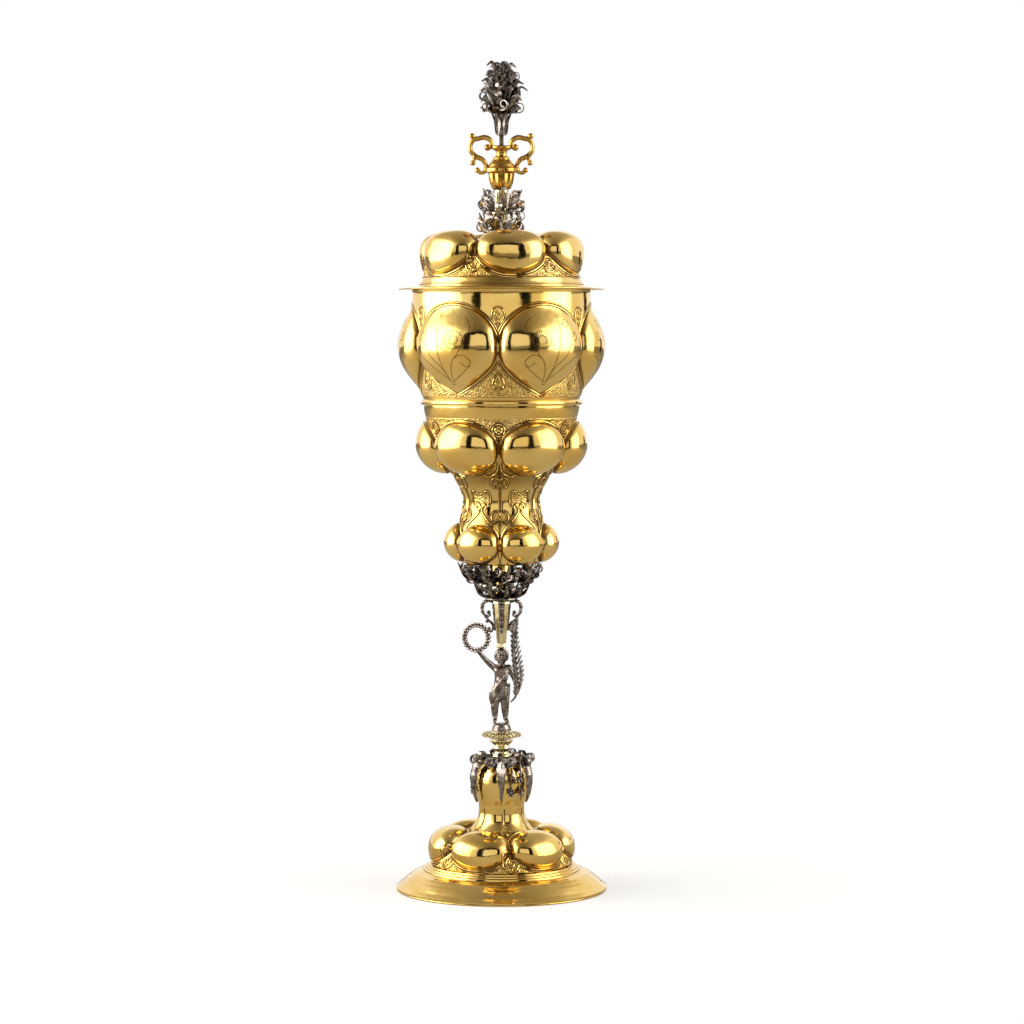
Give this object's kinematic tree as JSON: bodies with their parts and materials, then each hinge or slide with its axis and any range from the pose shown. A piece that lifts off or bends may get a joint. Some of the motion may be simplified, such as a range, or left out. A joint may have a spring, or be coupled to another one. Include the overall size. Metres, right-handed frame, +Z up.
{
  "type": "standing cup and cover",
  "caption": "Tall standing cup of gilded silver with tiers of round bosses, a cast figure as stem, cut-leaf collars and a lift-off cover with a two-handled vase and bouquet.",
  "frame": {"origin": "centre of the foot, on the plane that the cup stands on", "axes": "+Z up along the cup's axis, -Y towards the figure's front, +X to the figure's palm side"},
  "size_m": [0.1146, 0.114, 0.45],
  "materials": {
    "gilt_silver": "polished",
    "pale_gilt": "satin",
    "oxidised_silver": "satin"
  },
  "bodies": {
    "cup": {"foot_rim_wire": "gilt_silver", "foot_flange": "gilt_silver", "foot_dome": "gilt_silver", "foot_knop": "gilt_silver", "foot_leaf_collar": "oxidised_silver", "foot_washer": "oxidised_silver", "foot_nut": "oxidised_silver", "stem_rod": "oxidised_silver", "stem_spool": "pale_gilt", "stem_disc": "pale_gilt", "stem_figure": "oxidised_silver", "figure_wreath": "oxidised_silver", "figure_palm": "oxidised_silver", "stem_shaft": "pale_gilt", "bracket_front": "oxidised_silver", "bracket_right": "oxidised_silver", "bracket_back": "oxidised_silver", "bracket_left": "oxidised_silver", "stem_plate": "oxidised_silver", "bowl_leaf_collar_lower": "oxidised_silver", "bowl_leaf_collar_upper": "oxidised_silver", "bowl_socket": "oxidised_silver", "bowl_bolt": "oxidised_silver", "bowl_washer": "oxidised_silver", "bowl_lower": "gilt_silver", "bowl_moulding": "gilt_silver", "bowl_upper": "gilt_silver"},
    "cover": {"cover_rim": "gilt_silver", "cover_bezel": "gilt_silver", "cover_dome": "gilt_silver", "cover_tube": "pale_gilt", "cover_leaf_collar_lower": "oxidised_silver", "cover_leaf_collar_upper": "oxidised_silver", "urn_body": "gilt_silver", "urn_handle_left": "gilt_silver", "urn_handle_right": "gilt_silver", "finial_rod": "oxidised_silver", "finial_nut": "oxidised_silver", "finial_washer": "oxidised_silver", "bouquet_holder": "oxidised_silver", "bouquet_leaves_lower": "oxidised_silver", "bouquet_leaves_middle": "oxidised_silver", "bouquet_leaves_upper": "oxidised_silver"}
  },
  "joints": [
    {"name": "cover_lift", "type": "slide", "parent": "cup", "child": "cover", "axis": [0, 0, 1], "range_m": [0, 0.12]}
  ]
}
